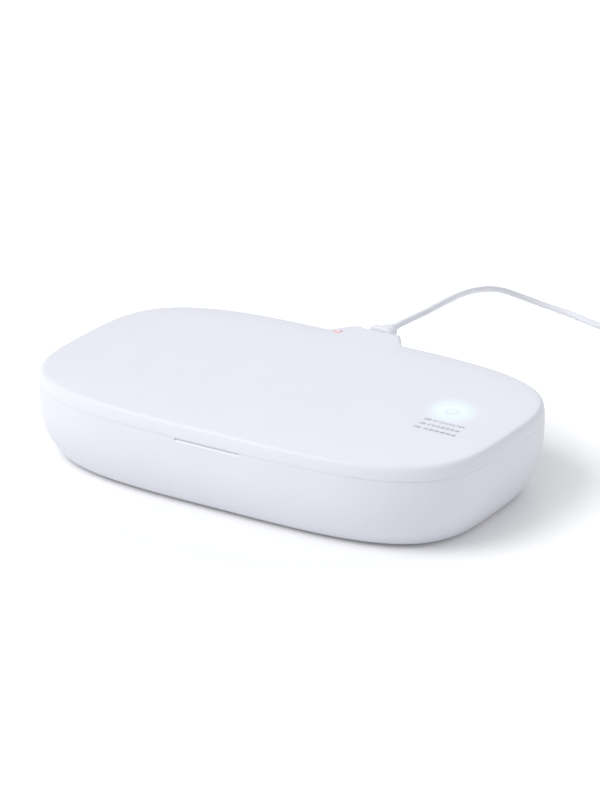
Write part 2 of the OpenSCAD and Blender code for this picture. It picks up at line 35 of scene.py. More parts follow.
import bmesh
import bpy
from mathutils import Matrix, Vector

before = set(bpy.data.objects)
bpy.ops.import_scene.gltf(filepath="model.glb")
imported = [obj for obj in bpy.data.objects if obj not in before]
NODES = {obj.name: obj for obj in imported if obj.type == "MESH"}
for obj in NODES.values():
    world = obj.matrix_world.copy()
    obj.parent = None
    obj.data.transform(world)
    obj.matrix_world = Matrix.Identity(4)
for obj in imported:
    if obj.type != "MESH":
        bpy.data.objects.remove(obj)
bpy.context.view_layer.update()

MM = 0.001
HALF_WIDTH, HALF_DEPTH = 112.5, 66.5
MIDDLE_Y = -5.5  # the case's middle in the frame, in mm
RING_COUNT = 440  # points round the case's outline
CORNER_X, CORNER_Y = 3.7, 3.5
TAIL_FLAT, TAIL_HALF = 10.0, 20.5
HINGE = Vector((0.0, 73.6, 37.5))
KNUCKLE_R = 3.9
RIM_Z, LID_Z = 34.49, 34.51
FLOOR_Z = 1.5
SLOT_HALF, SLOT_R = 8.52, 7.52  # the lid's slot round the rear block
PIN_HOLE_R = 1.3
NOTCH_HALF = 16.5
NOTCH_FRONT, NOTCH_BACK = -67.5, -65.3
BUTTON = (79.0, 7.0)
BUTTON_R, BUTTON_HOLE_R, BUTTON_TOP = 6.5, 6.52, 42.39
GLOW_REACH = 19.4
GLOW_TURN, GLOW_STRETCH = math.radians(32), 1.25
GLOW_STRENGTH = 0.135
STATUS = (-13.7, 63.2)
STATUS_HOLE_R = 2.2
WINDOW_VIEW = (100.0, 9.0)
WINDOW = (116.2, 14.2)
FEET = [(x * 78.0, y * 38.0) for x in (-1, 1) for y in (-1, 1)]
FOOT_R, FOOT_POCKET_R = 6, 6.1
LID_SCREWS = [(92, 36), (-92, 36), (92, -36), (-92, -36), (0, -58), (0, 57)]
SCREW_HEAD_R, SCREW_SHANK_R = 2.3, 1.1
MARK_SIZE, MARK_HEAVIER, INK = 2.6, 0.04, 0.02
CAMERA_AT = (0.81907, -1.29864, 0.66022)
CAMERA_LOOKS = (-0.49265, 0.78321, -0.37929)
CAMERA_LENS = 168.05


# ---------------------------------------------------------------- sizes and colours


class CaseSizes(bpy.types.PropertyGroup):
    half_width: bpy.props.FloatProperty(
        name="Half width",
        description="Half the case's width in millimetres",
        default=HALF_WIDTH,
        min=100,
        max=125,
    )
    half_depth: bpy.props.FloatProperty(
        name="Half depth",
        description="Half the case's depth in millimetres",
        default=HALF_DEPTH,
        min=60,
        max=72,
    )
    side_inset: bpy.props.FloatProperty(
        name="Side inset", description="How far the side draws in at its foot, in millimetres", default=8.0
    )
    wall: bpy.props.FloatProperty(name="Wall", description="Wall of base and lid in millimetres", default=2.2)
    tail: bpy.props.FloatProperty(
        name="Hinge tail",
        description="How far the chin under the hinge stands out, in millimetres",
        default=10.6,
    )
    rim_round: bpy.props.FloatProperty(
        name="Rim rounding",
        description="Rounding of the base's rim at the seam, in millimetres",
        default=0.25,
    )
    lid_round: bpy.props.FloatProperty(
        name="Lid rounding",
        description="Rounding of the lid's rim at the seam, in millimetres",
        default=0.06,
    )


class CordSizes(bpy.types.PropertyGroup):
    diameter: bpy.props.FloatProperty(
        name="Diameter",
        description="Diameter of the power cord",
        default=3.0 * MM,
        unit="LENGTH",
        precision=4,
    )
    pitch: bpy.props.FloatProperty(
        name="Coil pitch", description="Step between the coil's turns in millimetres", default=3.45
    )
    turns: bpy.props.IntProperty(name="Coil turns", description="Turns in the coil", default=7)


def colour(name, description, default):
    return bpy.props.FloatVectorProperty(
        name=name, description=description, default=default, size=4, subtype="COLOR", min=0, max=1
    )


class Colours(bpy.types.PropertyGroup):
    case: colour("Case", "Satin white of base and lid", (0.81, 0.812, 0.872, 1))
    tub: colour("Tub", "White of the tub and the lid's inner plate", (0.82, 0.83, 0.86, 1))
    glow: colour("Glow", "Light of the button", (0.36, 1.0, 0.92, 1))
    ready: colour("Ready light", "Pink of the ready light", (0.88, 0.52, 0.56, 1))
    cord: colour("Cord", "Cool white of the cord", (0.815, 0.82, 0.87, 1))
    rubber: colour("Rubber", "Grey of the feet", (0.38, 0.39, 0.41, 1))
    print: colour("Print", "Grey of the printed marks", (0.24, 0.23, 0.28, 1))


# ---------------------------------------------------------------- helpers


def at(x, y, z):
    """A point of the case's own plan in millimetres, as a place in the frame."""
    return Vector((x * MM, (y + MIDDLE_Y) * MM, z * MM))


def let_go():
    bpy.ops.object.select_all(action="DESELECT")


def only(piece):
    let_go()
    piece.select_set(True)
    bpy.context.view_layer.objects.active = piece
    return piece


def named(name):
    piece = bpy.context.object
    piece.name = piece.data.name = name
    return piece


def settle(piece):
    """Puts the object's place into its mesh."""
    only(piece)
    bpy.ops.object.transform_apply(location=True, rotation=True, scale=True)
    return piece


def signed_power(value, power):
    return math.copysign(abs(value) ** power, value)


def oval(angle, power_x, power_y):
    return (
        signed_power(math.cos(angle), 2 / power_x),
        signed_power(math.sin(angle), 2 / power_y),
    )


def even_outline(count, half_w, half_d):
    """Points of the case's plan, evenly spaced along it, as shares of its half width and depth."""
    fine = 20000
    points = [oval(math.tau * k / fine, CORNER_X, CORNER_Y) for k in range(fine + 1)]
    run = [0.0]
    for a, b in zip(points, points[1:]):
        run.append(run[-1] + math.hypot((b[0] - a[0]) * half_w, (b[1] - a[1]) * half_d))
    found, k = [], 0
    for i in range(count):
        want = run[-1] * (i + 0.5) / count
        while run[k + 1] < want:
            k += 1
        share = (want - run[k]) / max(run[k + 1] - run[k], 1e-12)
        a, b = points[k], points[k + 1]
        found.append((a[0] + (b[0] - a[0]) * share, a[1] + (b[1] - a[1]) * share))
    return found


def ease(share):
    share = min(1.0, max(0.0, share))
    return share * share * (3 - 2 * share)


def tail_share(x):
    return 1 - ease((abs(x) - TAIL_FLAT) / (TAIL_HALF - TAIL_FLAT))


def case_ring(inset, z, tail=0.0):
    """One outline of the case at a height, with the hinge tail standing out by tail."""
    sizes = bpy.context.scene.case_sizes
    ring = []
    for u, v in OUTLINE:
        x, y = u * (sizes.half_width - inset), v * (sizes.half_depth - inset)
        if v > 0:
            y += tail * tail_share(x)
        ring.append(at(x, y, z))
    return ring


def round_ring(centre, radius, z, count=64):
    return [
        at(
            centre[0] + radius * math.cos(math.tau * k / count),
            centre[1] + radius * math.sin(math.tau * k / count),
            z,
        )
        for k in range(count)
    ]


def turn_about(middle):
    return lambda co: math.atan2(co[1] - middle[1], co[0] - middle[0])


def stack(name, rings, middle=None, low_cap=True, top_cap=True, joined=False):
    """Extrudes a circle from ring to ring, and closes its ends or joins the last ring to the first."""
    middle = at(0, 0, 0) if middle is None else middle
    turn = turn_about(middle)
    count = len(rings[0])
    let_go()
    bpy.ops.mesh.primitive_circle_add(vertices=count, radius=0.01, fill_type="NOTHING", location=(0, 0, 0))
    piece = named(name)
    by_turn = sorted(piece.data.vertices, key=lambda v: math.atan2(v.co.y, v.co.x))
    for vertex, place in zip(by_turn, sorted(rings[0], key=turn)):
        vertex.co = place
    bpy.ops.object.mode_set(mode="EDIT")
    bpy.ops.mesh.select_mode(type="VERT")
    bpy.ops.mesh.select_all(action="SELECT")
    for before, ring in zip(rings, rings[1:]):
        bpy.ops.mesh.extrude_region_move()
        mesh = bmesh.from_edit_mesh(piece.data)
        moved = sorted((v for v in mesh.verts if v.select), key=lambda v: turn(v.co))
        for vertex, place in zip(moved, sorted(ring, key=turn)):
            vertex.co = place
        bmesh.update_edit_mesh(piece.data)
    if top_cap and not joined:
        bpy.ops.mesh.edge_face_add()
    if low_cap or joined:
        if not joined:
            bpy.ops.mesh.select_all(action="DESELECT")
        mesh = bmesh.from_edit_mesh(piece.data)
        mesh.verts.ensure_lookup_table()
        for k in range(count):
            mesh.verts[k].select = True
        mesh.select_flush(True)
        bmesh.update_edit_mesh(piece.data)
        if joined:
            bpy.ops.mesh.bridge_edge_loops()
        else:
            bpy.ops.mesh.edge_face_add()
    bpy.ops.mesh.select_all(action="SELECT")
    bpy.ops.mesh.normals_make_consistent(inside=False)
    bpy.ops.object.mode_set(mode="OBJECT")
    return piece


def smooth(piece, degrees=32):
    only(piece)
    bpy.ops.object.shade_smooth_by_angle(angle=math.radians(degrees))
    return piece


def carve(piece, cutter, operation="DIFFERENCE"):
    settle(cutter)
    only(piece)
    cut = piece.modifiers.new("cut", "BOOLEAN")
    cut.operation, cut.solver, cut.object = operation, "EXACT", cutter
    bpy.ops.object.modifier_apply(modifier=cut.name)
    bpy.data.objects.remove(cutter)
    return piece


def block(low, high):
    """A cutter with these lowest and highest corners in the case's plan."""
    let_go()
    low, high = at(*low), at(*high)
    bpy.ops.mesh.primitive_cube_add(size=1, location=(low + high) / 2, scale=high - low)
    return named("cutter")


def rod(centre, radius, z0, z1, sides=64):
    let_go()
    bpy.ops.mesh.primitive_cylinder_add(
        vertices=sides,
        radius=radius * MM,
        depth=(z1 - z0) * MM,
        location=at(centre[0], centre[1], (z0 + z1) / 2),
    )
    return named("cutter")


def rod_along_x(y, z, radius, x0, x1, sides=64):
    let_go()
    bpy.ops.mesh.primitive_cylinder_add(
        vertices=sides,
        radius=radius * MM,
        depth=(x1 - x0) * MM,
        location=at((x0 + x1) / 2, y, z),
        rotation=(0, math.pi / 2, 0),
    )
    return named("cutter")


def join(name, pieces):
    let_go()
    for piece in pieces:
        piece.select_set(True)
    bpy.context.view_layer.objects.active = pieces[0]
    bpy.ops.object.join()
    return named(name)


def dress(piece, material, body, slot, *replaced):
    piece.data.materials.clear()
    piece.data.materials.append(material)
    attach(piece, body)
    if replaced:
        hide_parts(*replaced)
    return piece


# ---------------------------------------------------------------- materials


class Finish:
    """A material under construction: its nodes, and its shader's sockets by name."""

    def __init__(self, name, base, roughness, **sockets):
        self.material = bpy.data.materials.new(name)
        self.material.use_nodes = True
        self.tree = self.material.node_tree
        self.shader = self.tree.nodes["Principled BSDF"]
        self.set("Base Color", tuple(base))
        self.set("Roughness", roughness)
        for socket, value in sockets.items():
            self.set(socket.replace("_", " "), value)
        self.material.diffuse_color = tuple(base)

    def set(self, socket, value):
        self.shader.inputs[socket].default_value = value

    def node(self, kind, **settings):
        made = self.tree.nodes.new("ShaderNode" + kind)
        for key, value in settings.items():
            if key in made.inputs.keys():
                made.inputs[key].default_value = value
            else:
                setattr(made, key, value)
        return made

    def link(self, output, target):
        self.tree.links.new(output, target)

    def place(self, kind="Object"):
        return self.node("TexCoord").outputs[kind]

    def noise(self, scale, detail=3.0, place=None, rough=0.5):
        made = self.node("TexNoise", Scale=scale, Detail=detail, Roughness=rough)
        self.link(place or self.place(), made.inputs["Vector"])
        return made.outputs["Fac"]

    def ramp(self, value, *stops):
        made = self.node("ValToRGB")
        steps = made.color_ramp.elements
        while len(steps) < len(stops):
            steps.new(0.5)
        for step, (where, shade) in zip(steps, stops):
            step.position = where
            step.color = shade if hasattr(shade, "__len__") else (shade, shade, shade, 1)
        self.link(value, made.inputs["Fac"])
        return made.outputs["Color"]

    def spread(self, value, low, high):
        made = self.node("MapRange")
        made.inputs["To Min"].default_value, made.inputs["To Max"].default_value = low, high
        self.link(value, made.inputs["Value"])
        return made.outputs["Result"]

    def tint(self, value, amount):
        """Lets the base colour darken by up to amount, as value goes from 0.3 to 0.7."""
        base = tuple(self.shader.inputs["Base Color"].default_value)
        darker = tuple(c * (1 - amount) for c in base[:3]) + (1,)
        self.link(self.ramp(value, (0.3, darker), (0.7, base)), self.shader.inputs["Base Color"])
        return self

    def uneven(self, value, low, high):
        self.link(self.spread(value, low, high), self.shader.inputs["Roughness"])
        return self

    def bump(self, height, strength, depth):
        made = self.node("Bump", Strength=strength, Distance=depth)
        self.link(height, made.inputs["Height"])
        self.link(made.outputs["Normal"], self.shader.inputs["Normal"])
        return self


def distance_from(finish, centre, turn=0.0, stretch=1.0):
    """The plan's distance from a point in millimetres, divided by stretch along the turned Y axis."""
    moved = finish.node("Mapping", vector_type="TEXTURE")
    moved.inputs["Location"].default_value = at(centre[0], centre[1], 0)
    moved.inputs["Rotation"].default_value = (0, 0, turn)
    moved.inputs["Scale"].default_value = (MM, stretch * MM, MM)
    finish.link(finish.place(), moved.inputs["Vector"])
    flat = finish.node("VectorMath", operation="MULTIPLY")
    flat.inputs[1].default_value = (1, 1, 0)
    finish.link(moved.outputs["Vector"], flat.inputs[0])
    length = finish.node("VectorMath", operation="LENGTH")
    finish.link(flat.outputs["Vector"], length.inputs[0])
    return length.outputs["Value"]


def satin_plastic(name, base, roughness=0.4):
    finish = Finish(name, base, roughness, Specular_IOR_Level=0.28)
    finish.tint(finish.noise(38, 4), 0.018)
    finish.uneven(finish.noise(160, 5), roughness - 0.035, roughness + 0.05)
    finish.bump(finish.noise(2600, 3), 0.06, 0.00002)
    return finish


def lid_plastic():
    colours = bpy.context.scene.box_colours
    finish = satin_plastic("lid_satin_white_painted_glow", colours.case)
    # Painted glow: the button's light is painted as emission on the lid plastic, an oval pool round the
    # button, turned by GLOW_TURN and stretched by GLOW_STRETCH.
    share = divided(finish, distance_from(finish, BUTTON, GLOW_TURN, GLOW_STRETCH), GLOW_REACH)
    glow = finish.ramp(
        share, (0.0, 1.0), (0.36, 1.0), (0.43, 0.74), (0.5, 0.47), (0.575, 0.23), (0.65, 0.08), (0.76, 0.0)
    )
    finish.set("Emission Color", tuple(colours.glow))
    finish.link(scaled(finish, glow, GLOW_STRENGTH), finish.shader.inputs["Emission Strength"])
    return finish


def divided(finish, value, by):
    made = finish.node("Math", operation="DIVIDE")
    made.inputs[1].default_value = by
    finish.link(value, made.inputs[0])
    return made.outputs["Value"]


def scaled(finish, value, by):
    made = finish.node("Math", operation="MULTIPLY")
    made.inputs[1].default_value = by
    finish.link(value, made.inputs[0])
    return made.outputs["Value"]


def button_plastic():
    colours = bpy.context.scene.box_colours
    finish = Finish("button_lit_white", colours.case, 0.32)
    share = divided(finish, distance_from(finish, BUTTON), 10.0)
    case = tuple(colours.case)
    ring = (0.70, 0.76, 0.83, 1)
    shades = finish.ramp(share, (0.0, case), (0.205, case), (0.23, ring), (0.265, ring), (0.29, case))
    finish.link(shades, finish.shader.inputs["Base Color"])
    finish.uneven(finish.noise(300, 4), 0.27, 0.36)
    finish.bump(finish.noise(2600, 3), 0.05, 0.00002)
    glow = finish.ramp(share, (0.0, 0.85), (0.205, 1.0), (0.235, 0.7), (0.26, 0.7), (0.29, 1.0))
    finish.set("Emission Color", tuple(colours.glow))
    finish.link(scaled(finish, glow, GLOW_STRENGTH), finish.shader.inputs["Emission Strength"])
    return finish


def ready_plastic():
    colours = bpy.context.scene.box_colours
    finish = Finish("ready_light_pink", colours.ready, 0.3)
    share = divided(finish, distance_from(finish, STATUS), 3.0)
    shades = finish.ramp(
        share,
        (0.0, (0.9, 0.74, 0.78, 1)), (0.36, (0.9, 0.72, 0.76, 1)), (0.52, tuple(colours.ready)),
        (0.72, (0.9, 0.6, 0.64, 1)),
    )
    finish.link(shades, finish.shader.inputs["Base Color"])
    finish.uneven(finish.noise(300, 3), 0.25, 0.35)
    return finish


def mirror_sheet():
    finish = Finish("mirror_sheet", (0.86, 0.88, 0.9, 1), 0.12, Metallic=1.0)
    finish.uneven(finish.noise(220, 5), 0.08, 0.2)
    finish.bump(finish.noise(90, 3), 0.12, 0.00004)
    return finish


def clear_glass(name, base, roughness):
    finish = Finish(name, base, roughness, Transmission_Weight=0.92, IOR=1.46)
    finish.uneven(finish.noise(120, 3), roughness, roughness + 0.05)
    return finish


def board_mask():
    """Green solder mask in bricks of two greens, with paler lines between them."""
    finish = Finish("board_green", (0.02, 0.13, 0.06, 1), 0.35)
    tracks = finish.node("TexBrick", Scale=1.0, Color1=(0.02, 0.15, 0.07, 1), Color2=(0.02, 0.12, 0.055, 1))
    tracks.inputs["Mortar"].default_value = (0.05, 0.24, 0.11, 1)
    tracks.inputs["Mortar Size"].default_value = 0.012
    bigger = finish.node("Mapping")
    bigger.inputs["Scale"].default_value = (260, 190, 190)
    finish.link(finish.place(), bigger.inputs["Vector"])
    finish.link(bigger.outputs["Vector"], tracks.inputs["Vector"])
    finish.link(tracks.outputs["Color"], finish.shader.inputs["Base Color"])
    finish.uneven(finish.noise(500, 3), 0.28, 0.42)
    return finish


def plain_finish(name, base, low, high, grain=900, depth=0.00003, strength=0.15, **sockets):
    finish = Finish(name, base, low, **sockets)
    finish.tint(finish.noise(grain / 6, 4), 0.06)
    finish.uneven(finish.noise(grain / 2, 3), low, high)
    finish.bump(finish.noise(grain, 3), strength, depth)
    return finish


def cord_jacket():
    colours = bpy.context.scene.box_colours
    finish = Finish("cord_jacket", colours.cord, 0.42)
    finish.tint(finish.noise(120, 3), 0.04)
    finish.uneven(finish.noise(700, 3), 0.36, 0.5)
    finish.bump(finish.noise(3000, 2), 0.08, 0.00002)
    return finish


def strap_weave():
    finish = Finish("strap_weave", (0.5, 0.51, 0.54, 1), 0.85, Sheen_Weight=0.3)
    threads = finish.node("TexWave", Scale=900.0, Distortion=0.4, bands_direction="Y")
    finish.link(finish.place(), threads.inputs["Vector"])
    finish.tint(threads.outputs["Fac"], 0.18)
    finish.bump(threads.outputs["Fac"], 0.35, 0.00008)
    return finish


def coil_copper():
    finish = Finish("copper_winding", (0.62, 0.24, 0.09, 1), 0.3, Metallic=1.0)
    finish.tint(finish.noise(300, 3), 0.2)
    finish.uneven(finish.noise(800, 3), 0.22, 0.4)
    return finish


def led_package():
    finish = Finish("led_package", (0.78, 0.8, 0.74, 1), 0.25)
    finish.tint(finish.noise(500, 3), 0.1)
    finish.uneven(finish.noise(900, 3), 0.18, 0.34)
    return finish


FINISHES = {
    "case": lambda: satin_plastic("case_satin_white", bpy.context.scene.box_colours.case),
    "lid": lid_plastic,
    "tub": lambda: satin_plastic("tub_white", bpy.context.scene.box_colours.tub, 0.4),
    "button": button_plastic,
    "ready": ready_plastic,
    "mirror": mirror_sheet,
    "rail": lambda: clear_glass("clear_rail", (0.86, 0.92, 0.96, 1), 0.04),
    "glass": lambda: clear_glass("quartz_window", (0.93, 0.96, 0.98, 1), 0.02),
    "board": board_mask,
    "led": led_package,
    "steel": lambda: plain_finish("zinc_steel", (0.56, 0.57, 0.6, 1), 0.22, 0.36, Metallic=1.0),
    "nickel": lambda: plain_finish("bright_nickel", (0.68, 0.69, 0.72, 1), 0.12, 0.24, Metallic=1.0),
    "chip": lambda: plain_finish("black_package", (0.02, 0.02, 0.022, 1), 0.45, 0.6),
    "ferrite": lambda: plain_finish("dark_ferrite", (0.035, 0.034, 0.036, 1), 0.55, 0.7),
    "copper": coil_copper,
    "wire": lambda: plain_finish("black_wire", (0.015, 0.015, 0.017, 1), 0.4, 0.55),
    "foot": lambda: plain_finish("foot_silicone", bpy.context.scene.box_colours.rubber, 0.6, 0.78),
    "seal": lambda: plain_finish("seal_silicone", (0.5, 0.51, 0.54, 1), 0.5, 0.68),
    "cord": cord_jacket,
    "strap": strap_weave,
    "print": lambda: plain_finish("grey_print", bpy.context.scene.box_colours.print, 0.5, 0.6),
}
MADE = {}


def finish_of(kind):
    if kind not in MADE:
        MADE[kind] = FINISHES[kind]().material
    return MADE[kind]


CAD_FINISHES = {
    "case": ["rear_block"],
    "mirror": ["floor_reflector", "lid_reflector"],
    "rail": ["support_rails", "light_ring"],
    "glass": ["base_window", "lid_window"],
    "board": [
        "base_led_board", "main_board", "socket_board", "lid_led_board", "charger_board",
        "button_board", "status_board", "lid_sensor",
    ],
    "led": ["base_uv_leds", "lid_uv_leds", "button_leds"],
    "steel": [
        "base_led_screws", "board_screws", "base_screws", "lid_led_screws", "lid_screws",
        "hinge_pins", "usb_socket", "plug_tip", "charger_plug_shell",
    ],
    "nickel": ["base_magnets", "lid_magnets"],
    "chip": ["main_board_parts", "charger_parts", "tact_switch"],
    "ferrite": ["coil_ferrite"],
    "copper": ["charging_coil"],
    "wire": ["power_lead"],
}


# ---------------------------------------------------------------- the pieces


def chin(share):
    sizes = bpy.context.scene.case_sizes
    return sizes.tail * math.cos(math.pi / 2 * share / 0.75) ** 2 if share < 0.75 else 0.0


class BOX_OT_base_case(bpy.types.Operator):
    """Models the lower shell with its finger notch, foot pockets and the chin under the hinge"""

    bl_idname = "box.base_case"
    bl_label = "Base case"

    def execute(self, context):
        sizes = context.scene.case_sizes
        r = sizes.rim_round
        wall = sizes.wall
        side = RIM_Z - FLOOR_Z - 1

        def side_ring(share, inward=0.0):
            inset = sizes.side_inset * share**3.3 + inward
            return case_ring(inset, RIM_Z - share * side, chin(share))

        rings = [case_ring(14, FLOOR_Z), case_ring(9.6, FLOOR_Z), case_ring(9.0, FLOOR_Z + 0.12)]
        rings += [case_ring(8.55, FLOOR_Z + 0.42, 0), case_ring(8.25, FLOOR_Z + 0.75)]
        rings += [side_ring(k / 22) for k in range(22, 0, -1)]
        rings += [case_ring(inset, z, chin(0)) for inset, z in (
            (0, RIM_Z - 1.2), (0, RIM_Z - r), (r * 0.13, RIM_Z - r * 0.5), (r * 0.5, RIM_Z - r * 0.13),
            (r, RIM_Z), (wall - r, RIM_Z), (wall - r * 0.29, RIM_Z - r * 0.29), (wall, RIM_Z - r),
        )]
        inside = (0.08, 0.17, 0.25, 0.35, 0.45, 0.55, 0.65, 0.75, 0.85, 0.92)
        rings += [side_ring(share, wall) for share in inside]
        rings += [case_ring(sizes.side_inset + wall + 1, FLOOR_Z + wall)]
        base = stack("base_case", rings)
        for sign in (-1, 1):
            ends = sorted((sign * 8.5, sign * 16))
            carve(base, rod_along_x(HINGE.y, HINGE.z, KNUCKLE_R + 0.3, *ends))
        carve(base, notch_cutter())
        for foot in FEET:
            carve(base, rod(foot, FOOT_POCKET_R, -1, FLOOR_Z + 0.7))
        dress(smooth(base), finish_of("case"), "base", "white_shell", "base_shell")
        return {"FINISHED"}


def notch_cutter():
    """A wedge that cuts the sloping finger notch under the lid's front edge."""
    cutter = block((-NOTCH_HALF, NOTCH_FRONT, RIM_Z - 2.5), (NOTCH_HALF, NOTCH_BACK, RIM_Z + 1))
    settle(cutter)
    for vertex in cutter.data.vertices:
        if vertex.co.z < RIM_Z * MM and vertex.co.y > (MIDDLE_Y - 66) * MM:
            vertex.co.z = (RIM_Z - 0.18) * MM
    return cutter


class BOX_OT_lid_case(bpy.types.Operator):
    """Models the upper shell with its knuckles, button hole and the hole of the ready light"""

    bl_idname = "box.lid_case"
    bl_label = "Lid case"

    def execute(self, context):
        sizes = context.scene.case_sizes
        r = sizes.lid_round
        wall = sizes.wall

        def tail(z, inset):
            away = max(0.0, KNUCKLE_R**2 - (z - HINGE.z) ** 2)
            return HINGE.y + math.sqrt(away) - sizes.half_depth + inset

        rings = [case_ring(4, 40.2), case_ring(2.5, 39.6), case_ring(wall, 38.6), case_ring(wall, LID_Z + r)]
        rings += [case_ring(wall - r * 0.29, LID_Z + r * 0.29), case_ring(wall - r, LID_Z)]
        rings += [case_ring(inset, z, tail(z, inset)) for inset, z in (
            (r, LID_Z), (r * 0.29, LID_Z + r * 0.29), (0, LID_Z + r), (0.04, 35.6), (0.1, 36.4),
            (0.2, 37.2), (0.32, 38.0), (0.46, 38.8), (0.63, 39.5), (0.86, 40.1), (1.15, 40.55), (1.5, 40.86),
            (1.9, 41.07), (2.4, 41.23), (3.0, 41.34),
        )]
        over = HINGE.y - sizes.half_depth + 3.8
        rings += [case_ring(inset, z, reach) for inset, reach, z in (
            (3.8, over, 41.44), (4.8, over - 0.05, 41.56), (6.2, 7.7, 41.71), (8, 4.5, 41.86),
            (10.5, 2, 42.02), (13.5, 0.6, 42.15), (17, 0, 42.25), (21, 0, 42.32), (26, 0, 42.37),
            (32, 0, 42.39), (42, 0, 42.4), (54, 0, 42.4),
        )]
        lid = stack("lid_case", rings)
        for sign in (-1, 1):
            ends = sorted((sign * 8.0, sign * 11.5))
            carve(lid, rod_along_x(HINGE.y, HINGE.z, KNUCKLE_R - 0.1, *ends), "UNION")
        carve(lid, rod_along_x(HINGE.y, HINGE.z, SLOT_R, -SLOT_HALF, SLOT_HALF, 128))
        carve(lid, block((-SLOT_HALF, HINGE.y, LID_Z - 4), (SLOT_HALF, 90, 46)))
        for sign in (-1, 1):
            carve(lid, rod_along_x(HINGE.y, HINGE.z, PIN_HOLE_R, *sorted((sign * 8, sign * 12.5))))
        carve(lid, rod(BUTTON, BUTTON_HOLE_R, 38, 44, 96))
        carve(lid, rod(STATUS, STATUS_HOLE_R, 38, 44, 48))
        dress(smooth(lid), finish_of("lid"), "lid", "white_shell", "lid_shell")
        return {"FINISHED"}


class BOX_OT_button(bpy.types.Operator):
    """Models the round lit button, with a fine ring sunk in its top"""

    bl_idname = "box.button"
    bl_label = "Button"

    def execute(self, context):
        r, top = BUTTON_R, BUTTON_TOP
        profile = [
            (2, 39.2), (2, 39.5), (7.7, 39.5), (7.7, 40), (r, 40), (r, top - 0.12), (6.48, top - 0.04),
            (6.42, top), (6.0, top), (2.75, top), (2.65, top - 0.04), (2.3, top - 0.04), (2.2, top),
            (1.2, top + 0.01),
        ]
        cap = stack("button_top", [round_ring(BUTTON, out, z, 96) for out, z in profile], at(*BUTTON, 0))
        dress(smooth(cap), finish_of("button"), "button", "button_white", "button_cap")
        return {"FINISHED"}


class BOX_OT_ready_light(bpy.types.Operator):
    """Models the small domed ready light at the root of the hinge tail"""

    bl_idname = "box.ready_light"
    bl_label = "Ready light"

    def execute(self, context):
        profile = [
            (2.15, 38.4), (2.15, 41.7), (2.1, 41.85), (1.9, 42.03), (1.55, 42.18), (1.1, 42.28), (0.5, 42.33),
        ]
        light = stack("ready_light", [round_ring(STATUS, r, z, 48) for r, z in profile], at(*STATUS, 0))
        dress(smooth(light, 50), finish_of("ready"), "lid", "status_pink", "status_light")
        return {"FINISHED"}


class BOX_OT_feet(bpy.types.Operator):
    """Models the four round feet, one copied to each corner"""

    bl_idname = "box.feet"
    bl_label = "Feet"

    def execute(self, context):
        profile = [
            (4.6, 0.25), (4.8, 0.08), (5.1, 0), (5.6, 0), (5.86, 0.1), (FOOT_R, 0.35), (FOOT_R, 2.2),
        ]
        first = stack("foot", [round_ring(FEET[0], r, z, 56) for r, z in profile], at(*FEET[0], 0))
        feet = [first]
        for foot in FEET[1:]:
            copy = first.copy()
            copy.data = first.data.copy()
            context.collection.objects.link(copy)
            copy.data.transform(Matrix.Translation(at(*foot, 0) - at(*FEET[0], 0)))
            feet.append(copy)
        pads = join("foot_pads", feet)
        dress(smooth(pads, 40), finish_of("foot"), "base", "foot_rubber", "feet")
        return {"FINISHED"}


class BOX_OT_tub(bpy.types.Operator):
    """Models the tub that holds the phone, with its flange, fillets and the slot over the lamps"""

    bl_idname = "box.tub"
    bl_label = "Tub"

    def execute(self, context):
        outside = [(15.5, 9.5), (13.2, 10.2), (11.5, 14), (10, 24), (9.5, 32.4), (4.7, 32.4), (4.6, 32.5)]
        inside = [
            (4.6, 33.5), (4.7, 33.6), (10.5, 33.6), (10.75, 33.55), (10.93, 33.42), (11.02, 33.2), (11.2, 30),
            (11.45, 25), (11.8, 21), (12.3, 17.5), (12.8, 15), (13.3, 13.3), (13.9, 12.2), (14.7, 11.5),
            (15.8, 11.1), (17, 11),
        ]
        tub = stack("phone_tub", [case_ring(inset, z) for inset, z in outside + inside])
        view_w, view_d = WINDOW_VIEW
        pane_w, pane_d = WINDOW
        carve(tub, block((-view_w / 2, -view_d / 2, 8), (view_w / 2, view_d / 2, 13)))
        carve(tub, block((-pane_w / 2, -pane_d / 2, 10.2), (pane_w / 2, pane_d / 2, 13)))
        dress(smooth(tub, 28), finish_of("tub"), "base", "liner_white", "chamber_liner")
        return {"FINISHED"}


class BOX_OT_lid_tray(bpy.types.Operator):
    """Models the lid's inner plate, with the lip that keeps the light in"""

    bl_idname = "box.lid_tray"
    bl_label = "Lid tray"

    def execute(self, context):
        profile = [
            (2.6, 36.7), (2.6, 35.2), (2.8, 35.1), (2.8, 32.9), (2.9, 32.68), (3.1, 32.6), (3.7, 32.6),
            (3.9, 32.68), (4, 32.9), (4, 34.9), (4.1, 35.12), (4.4, 35.2), (9, 35.2),
        ]
        tray = stack("lid_tray", [case_ring(inset, z) for inset, z in profile])
        view_w, view_d = WINDOW_VIEW
        pane_w, pane_d = WINDOW
        carve(tray, block((-view_w / 2, -view_d / 2, 34), (view_w / 2, view_d / 2, 38)))
        carve(tray, block((-pane_w / 2, -pane_d / 2, 34), (pane_w / 2, pane_d / 2, 36)))
        for screw in LID_SCREWS:
            carve(tray, rod(screw, SCREW_HEAD_R, 34, 36.1, 32))
            carve(tray, rod(screw, SCREW_SHANK_R, 34, 38, 24))
        dress(smooth(tray, 28), finish_of("tub"), "lid", "liner_white", "lid_liner")
        return {"FINISHED"}


class BOX_OT_seal(bpy.types.Operator):
    """Models the soft seal that lies round the tub's mouth"""

    bl_idname = "box.seal"
    bl_label = "Seal"

    def execute(self, context):
        section = [
            (5.8, 33.6), (5.8, 34.25), (5.9, 34.6), (6.15, 34.82), (6.6, 34.9), (7.05, 34.82), (7.3, 34.6),
            (7.4, 34.25), (7.4, 33.6),
        ]
        seal = stack("mouth_seal", [case_ring(inset, z) for inset, z in section], joined=True)
        dress(smooth(seal, 50), finish_of("seal"), "base", "seal_rubber", "light_seal")
        return {"FINISHED"}


